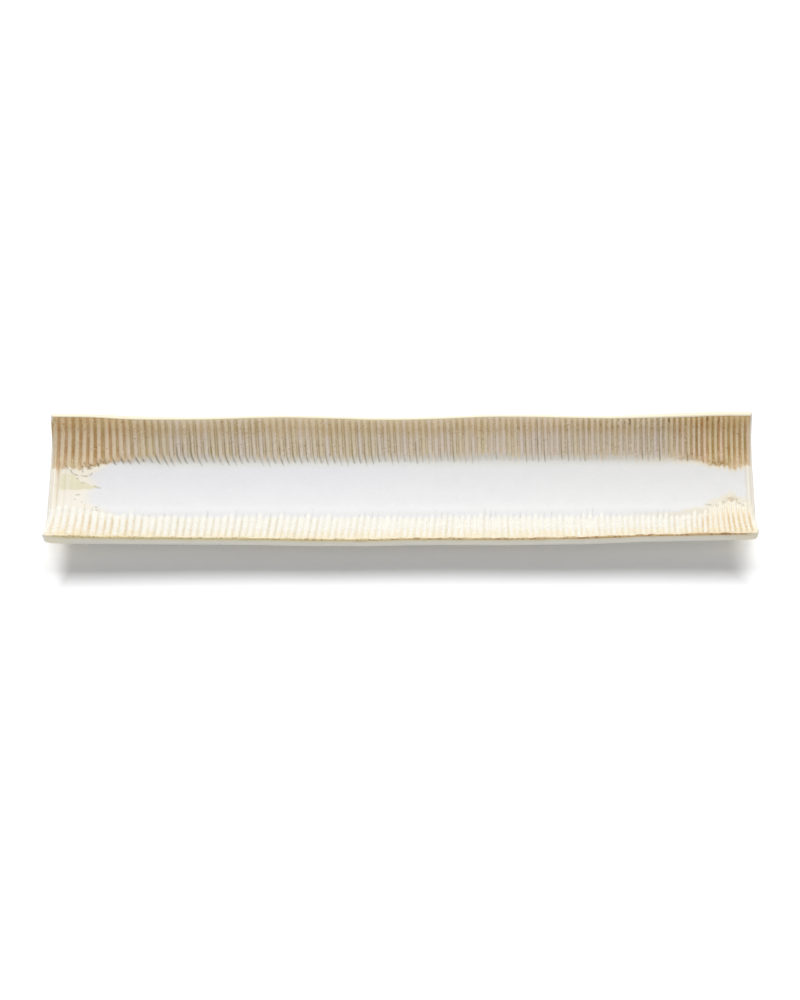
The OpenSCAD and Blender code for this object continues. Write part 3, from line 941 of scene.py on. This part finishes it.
# The froth's two ends have a colour at the back and one at the front; the darker back colour is painted
# shade, as on the pool.
FROTH = (srgb(230, 223, 203), srgb(244, 238, 222))
RIGHT_FROTH = (srgb(223, 212, 188), srgb(236, 227, 204))
OLIVE = srgb(221, 214, 182)
HAIR, PALE_HAIR = srgb(118, 106, 64), srgb(160, 150, 122)
OUTSIDE, OUTSIDE_CLOUD = srgb(252, 248, 234), srgb(247, 244, 232)
CLAY, DARK_CLAY, DARK_FOOT = srgb(196, 172, 138), srgb(180, 154, 120), srgb(170, 142, 108)
RIM_CREAM, BROW_AND_HIGHLIGHT, TIP_CREAM = srgb(255, 245, 218), srgb(234, 218, 172), srgb(246, 240, 228)
TIP_STAIN, RIM_AMBER, RIGHT_RIM_AMBER = srgb(196, 166, 116), srgb(215, 199, 145), srgb(190, 152, 96)
RIM_PALE, RIM_SPECK = srgb(240, 220, 172), srgb(140, 84, 36)
COAT_EDGE, RIGHT_COAT_EDGE = srgb(250, 239, 198), srgb(251, 237, 208)
# Heights of the fine grain, in metres.
GLAZE_GRAIN, CLAY_GRAIN, COAT_GRAIN, FOOT_GRAIN = 0.00004, 0.00005, 0.00005, 0.00008


def glaze():
    """All glaze inside the trough, from the pool up to the rim, coloured by its masks."""
    g = Graph(bpy.data.materials.new("combed_glaze"))
    warm, pale, right, shade = (g.mask(m) for m in ("warm", "pale", "right", "shade"))
    cloud, grit = g.noise(160.0), g.noise(1100.0, 2.0)
    patchy = g.span(cloud, 0.3, 0.7, 0.75, 1.15)

    def over(colour, top, *shares):
        """One colour laid over another, by the product of some shares."""
        share = shares[0]
        for factor in shares[1:]:
            share = g.math("MULTIPLY", share, factor)
        return g.mix(g.math("MINIMUM", share, 1.0), colour, top)

    # The floor's pool, with a painted shade band at the back wall's foot and painted light at the front
    # wall's foot, and the cream and olive glaze at the ends.
    pool = g.mix(right, g.mix(shade, POOL_BACK, POOL_FRONT),
                 g.mix(shade, RIGHT_POOL_BACK, RIGHT_POOL_FRONT))
    colour = over(over(pool, CREASE_SHADE, g.mask("crease_shade")), POOL_FOOT_LIGHT, g.mask("foot"))
    left_froth, right_froth = (g.mix(shade, *pair) for pair in (FROTH, RIGHT_FROTH))
    froth = g.mix(right, left_froth, right_froth)
    colour = over(colour, froth, g.mask("froth"), g.span(grit, 0.2, 0.45, 0.7, 1.0))
    # The pale lip at the cut ends is partly painted light.
    colour = over(over(colour, OLIVE, g.mask("olive")), LIP_PALE_AND_LIT, g.mask("lip"), 0.85)

    # The ribs, with a ragged lower edge.
    rough = g.math("MULTIPLY", g.math("SUBTRACT", grit, 0.5), g.span(pale, 0.0, 1.0, 1.2, 0.4))
    ragged = g.math("ADD", g.mask("zone"), rough)
    zone = g.math("MULTIPLY", g.span(ragged, 0.15, 0.75), g.span(g.mask("zone"), 0.0, 0.12))
    streak = g.span(g.noise(420.0, 2.0, 0.5, (1.0, 0.08, 0.08)), 0.3, 0.7, -0.3, 0.3)
    blush = g.math("ADD", g.mask("blush"), streak)
    right_ridge = g.mix(blush, RIGHT_END_RIDGE, PINK_RIGHT_RIDGE)
    end_ridge = g.mix(right, g.mix(blush, END_RIDGE, PINK_END_RIDGE), right_ridge)
    ridge = g.mix(warm, g.mix(blush, TAN_RIDGE, PINK_RIDGE), end_ridge)
    colour = over(colour, g.mix(pale, ridge, PALE_RIDGE), zone)

    # The wash that runs from the rim down the flutes.
    wash = g.mix(warm, WASH, END_WASH)
    colour = over(colour, g.mix(pale, wash, PALE_WASH), g.mask("wash"), patchy)
    amber = g.mix(warm, g.mix(right, AMBER, RIGHT_AMBER), g.mix(right, END_AMBER, RIGHT_END_AMBER))
    tone = g.math("ADD", g.mask("tone"), streak)
    amber = g.mix(g.span(tone, 0.0, 0.45, 0.5, 0.0), amber, OLIVE_AMBER)
    amber = g.mix(g.span(tone, 0.6, 1.0, 0.0, 0.4), amber, RED_AMBER)
    pale_end = g.mix(right, PALE_END_AMBER, PALE_RIGHT_AMBER)
    pale_amber = g.mix(g.span(warm, 0.0, 0.7), PALE_AMBER, pale_end)
    colour = over(colour, g.mix(pale, amber, pale_amber), g.mask("groove"), patchy)
    colour = over(colour, RUST, g.mask("rust"), g.span(grit, 0.35, 0.6, 0.1, 0.6))
    gather = g.mix(pale, GATHER, PALE_GATHER)
    colour = over(colour, gather, g.mask("gather"), g.span(grit, 0.3, 0.6, 0.3, 1.0))

    # Iron specks, pale dots painted on the ribs as glints, and hair lines.
    fleck = g.span(g.noise(900.0, 2.0), 0.61, 0.67)
    patch = g.span(g.noise(70.0, 1.0), 0.35, 0.6, 0.15, 1.0)
    colour = over(colour, FLECK, fleck, g.mask("zone"), patch, g.span(pale, 0.0, 1.0, 0.6, 0.2))
    blotch = g.span(g.noise(560.0, 2.0), 0.54, 0.62)
    colour = over(colour, BLOTCH, blotch, g.mask("speck"), 0.85)
    painted_glint = g.span(g.noise(1300.0, 2.0, 0.5, (1.0, 0.7, 0.7)), 0.64, 0.7)
    colour = over(colour, PALE_RIDGE, painted_glint, g.mask("zone"), 0.5)
    colour = over(colour, g.mix(pale, HAIR, PALE_HAIR), g.mask("hair"), 0.85)
    # The pale band under the rim is partly a painted highlight.
    colour = over(colour, BROW_AND_HIGHLIGHT, g.mask("brow_and_highlight"))
    g.set(Base_Color=colour, Roughness=g.span(cloud, 0.3, 0.7, 0.22, 0.32), IOR=1.4)
    g.bump(g.noise(420.0), GLAZE_GRAIN)
    return g.owner


def clay():
    """The slab: a cream rim with an amber line, and bare clay underneath."""
    g = Graph(bpy.data.materials.new("rim_and_base_clay"))
    grain = g.noise(900.0, 4.0)
    edge = g.mix(g.mask("right"), RIM_AMBER, RIGHT_RIM_AMBER)
    edge = g.mix(g.span(g.noise(120.0), 0.35, 0.65, 0.0, 0.5), edge, RIM_PALE)
    dark = g.span(g.mask("right"), 0.2, 1.0, 0.45, 0.85)
    speck = g.math("MULTIPLY", g.span(g.noise(620.0, 2.0), 0.52, 0.6), dark)
    edge = g.mix(speck, edge, RIM_SPECK)
    colour = g.mix(g.mask("tip"), RIM_CREAM, TIP_CREAM)
    colour = g.mix(g.mask("stain"), colour, TIP_STAIN)
    colour = g.mix(g.mask("rim"), colour, edge)
    bare = g.mix(g.span(grain, 0.35, 0.65), CLAY, DARK_CLAY)
    colour = g.mix(g.mask("bare"), colour, bare)
    g.set(Base_Color=colour, Roughness=g.span(g.mask("bare"), 0.0, 1.0, 0.22, 0.85), IOR=1.45)
    g.bump(grain, CLAY_GRAIN)
    return g.owner


def outside():
    """The white coat outside, with a warmer line along the front rim."""
    g = Graph(bpy.data.materials.new("outside_glaze_white"))
    cloud = g.noise(90.0)
    colour = g.mix(g.span(cloud, 0.3, 0.7), OUTSIDE, OUTSIDE_CLOUD)
    colour = g.mix(g.mask("cream"), colour, RIM_CREAM)
    edge = g.mix(g.mask("right"), COAT_EDGE, RIGHT_COAT_EDGE)
    edge = g.mix(g.span(g.noise(130.0), 0.5, 0.7, 0.0, 0.5), edge, RIM_AMBER)
    colour = g.mix(g.mask("edge"), colour, edge)
    g.set(Base_Color=colour, Roughness=g.span(cloud, 0.3, 0.7, 0.18, 0.28), IOR=1.45)
    g.bump(g.noise(380.0), COAT_GRAIN)
    return g.owner


def bare_clay():
    """Grainy unglazed clay, for the foot."""
    g = Graph(bpy.data.materials.new("bare_foot_clay"))
    grain = g.noise(1100.0, 5.0)
    colour = g.mix(g.span(grain, 0.35, 0.65), CLAY, DARK_FOOT)
    g.set(Base_Color=colour, Roughness=0.85)
    g.bump(grain, FOOT_GRAIN)
    return g.owner


# The pieces.

GLAZE = glaze()


def seat(piece, material, slot, *nodes):
    """Dress a piece and put it in its nodes' place."""
    piece.data.materials.append(material)
    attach(piece, "root")
    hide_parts(*nodes)


seat(clay_piece("plate_slab"), clay(), "clay_body", "slab_body")
seat(wall_piece("combed_back_wall", BACK), GLAZE, "amber_glaze", "back_wall_coat")
seat(wall_piece("combed_front_wall", FRONT), GLAZE, "amber_glaze", "front_wall_coat")
seat(pool_piece("white_floor_pool"), GLAZE, "white_glaze", "floor_glaze")
seat(end_piece("left_floor_end", -1, POOL_LEFT), GLAZE, "olive_glaze", "left_end_glaze")
seat(end_piece("right_floor_end", 1, POOL_RIGHT), GLAZE, "cream_glaze", "right_end_glaze")
OUTSIDE_MATERIAL = outside()
for side, name in ((BACK, "outside_coat_back"), (FRONT, "outside_coat_front")):
    seat(outside_piece(name, side), OUTSIDE_MATERIAL, "outer_glaze", "outside_glaze")
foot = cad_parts["foot_ring"]
foot.data.materials.clear()
foot.data.materials.append(bare_clay())

# The stage.

TABLE_HALF = 6.0
# The far table colour is a darker grey: painted shadow.
NEAR_TABLE, FAR_TABLE_SHADE = (0.99, 0.995, 1.0, 1.0), (0.87, 0.875, 0.89, 1.0)
TABLE_GLOW = 0.4
# Where the glow starts round the plate's shadow and where it is full, in metres. The glow paints light
# over the shadow's ends and front edge, trimming them.
GLOW_RIGHT, GLOW_LEFT = (0.183, 0.202), (-0.185, -0.197)
GLOW_FRONT, GLOW_BACK = (-0.048, -0.068), (-0.02, 0.04)
# Where the near colour ends and the far, darker one is full: before the plate, behind it and beside it.
# The darker far colour is painted shadow that deepens the plate's shadow on the table.
FAR_FRONT, FAR_BACK, FAR_BESIDE = (-0.036, -0.05), (0.1, 0.8), (0.22, 0.8)
WHITE, SKY_LEVEL = (1.0, 1.0, 1.0, 1.0), 0.48
# The key lamp, in watts and metres.
KEY_POWER, KEY_WIDE, KEY_DEEP = 7.85, 1.3, 0.46
KEY_HEIGHT = math.radians(62.5)
KEY_AWAY = 1.1


def table_white():
    """White that shows the plate's shadow, deepened by painted shadow in a darker grey, and glows towards
    the camera everywhere else, which paints light over the shadow's ends and front edge.
    """
    g = Graph(bpy.data.materials.new("table_white"))
    g.tree.nodes.remove(g.shader)
    axes = g.new("SeparateXYZ")
    g.put(axes.inputs[0], g.new("TexCoord").outputs["Object"])
    along, across = axes.outputs["X"], axes.outputs["Y"]

    def ramp(socket, limits):
        return g.span(socket, *limits, kind="SMOOTHSTEP")

    around = g.most(ramp(along, GLOW_RIGHT), ramp(along, GLOW_LEFT),
                    ramp(across, GLOW_FRONT), ramp(across, GLOW_BACK))
    beside = ramp(g.math("ABSOLUTE", along), FAR_BESIDE)
    far = g.most(beside, ramp(across, FAR_BACK), ramp(across, FAR_FRONT))
    paint, glow, both = g.new("BsdfDiffuse"), g.new("Emission"), g.new("AddShader")
    g.put(paint.inputs["Color"], g.mix(far, NEAR_TABLE, FAR_TABLE_SHADE))
    shown = g.math("MULTIPLY", around, g.seen())
    g.put(glow.inputs["Strength"], g.math("MULTIPLY", shown, TABLE_GLOW))
    g.put(both.inputs[0], paint.outputs[0])
    g.put(both.inputs[1], glow.outputs[0])
    g.put(g.tree.nodes["Material Output"].inputs["Surface"], both.outputs[0])
    return g.owner


def stage_floor():
    mesh = bpy.data.meshes.new("table")
    corners = [(x * TABLE_HALF, y * TABLE_HALF, 0) for x, y in ((-1, -1), (1, -1), (1, 1), (-1, 1))]
    mesh.from_pydata(corners, [], [(0, 1, 2, 3)])
    mesh.materials.append(table_white())
    table = add("table", mesh)


def sky():
    """An even sky, plain white where the camera looks."""
    world = bpy.data.worlds.new("studio")
    bpy.context.scene.world = world
    g = Graph(world, "Background")
    g.set(Color=WHITE, Strength=g.span(g.seen(), 0.0, 1.0, SKY_LEVEL, 1.0))


def key_lamp():
    """One wide soft lamp, above the plate and behind it."""
    light = bpy.data.lights.new("key", "AREA")
    light.shape = "RECTANGLE"
    light.energy = KEY_POWER
    light.size, light.size_y = KEY_WIDE, KEY_DEEP
    lamp = add("key", light)
    lamp.location = (0.0, KEY_AWAY * math.cos(KEY_HEIGHT), KEY_AWAY * math.sin(KEY_HEIGHT))
    lamp.rotation_euler = (-lamp.location).to_track_quat("-Z", "Y").to_euler()


stage_floor()
sky()
key_lamp()

# The camera: the photograph's height of view, its lens in pixels and where the floor's middle lies.
VIEW_HEIGHT = math.radians(59.3)
ROLL = math.radians(0.22)
LENS_PX = 3135.0
MM_PER_PX = 0.5678
IMAGE_WIDE, IMAGE_HIGH = 800.0, 1000.0
MIDDLE_PX = (401.5, 486.95)
SENSOR = 36.0


def photograph_camera():
    data = bpy.data.cameras.new("camera")
    data.sensor_width = SENSOR
    data.lens = SENSOR * LENS_PX / IMAGE_HIGH
    camera = add("camera", data)
    ahead = Vector((0.0, math.cos(VIEW_HEIGHT), -math.sin(VIEW_HEIGHT)))
    up = Vector((0.0, math.sin(VIEW_HEIGHT), math.cos(VIEW_HEIGHT)))
    right = Vector((1.0, 0.0, 0.0))
    middle = Vector((0.0, 0.0, (FLOOR_Z + POOL_GLAZE) * MM))
    px = MM_PER_PX * MM
    middle = middle - right * (MIDDLE_PX[0] - IMAGE_WIDE / 2.0) * px
    middle = middle + up * (MIDDLE_PX[1] - IMAGE_HIGH / 2.0) * px
    turn = Matrix.Rotation(ROLL, 3, ahead)
    right, up = turn @ right, turn @ up
    place = middle - ahead * LENS_PX * px
    axes = Matrix((right, up, -ahead)).transposed().to_4x4()
    camera.matrix_world = Matrix.Translation(place) @ axes
    bpy.context.scene.camera = camera


photograph_camera()
bpy.context.scene.view_settings.view_transform = "Standard"
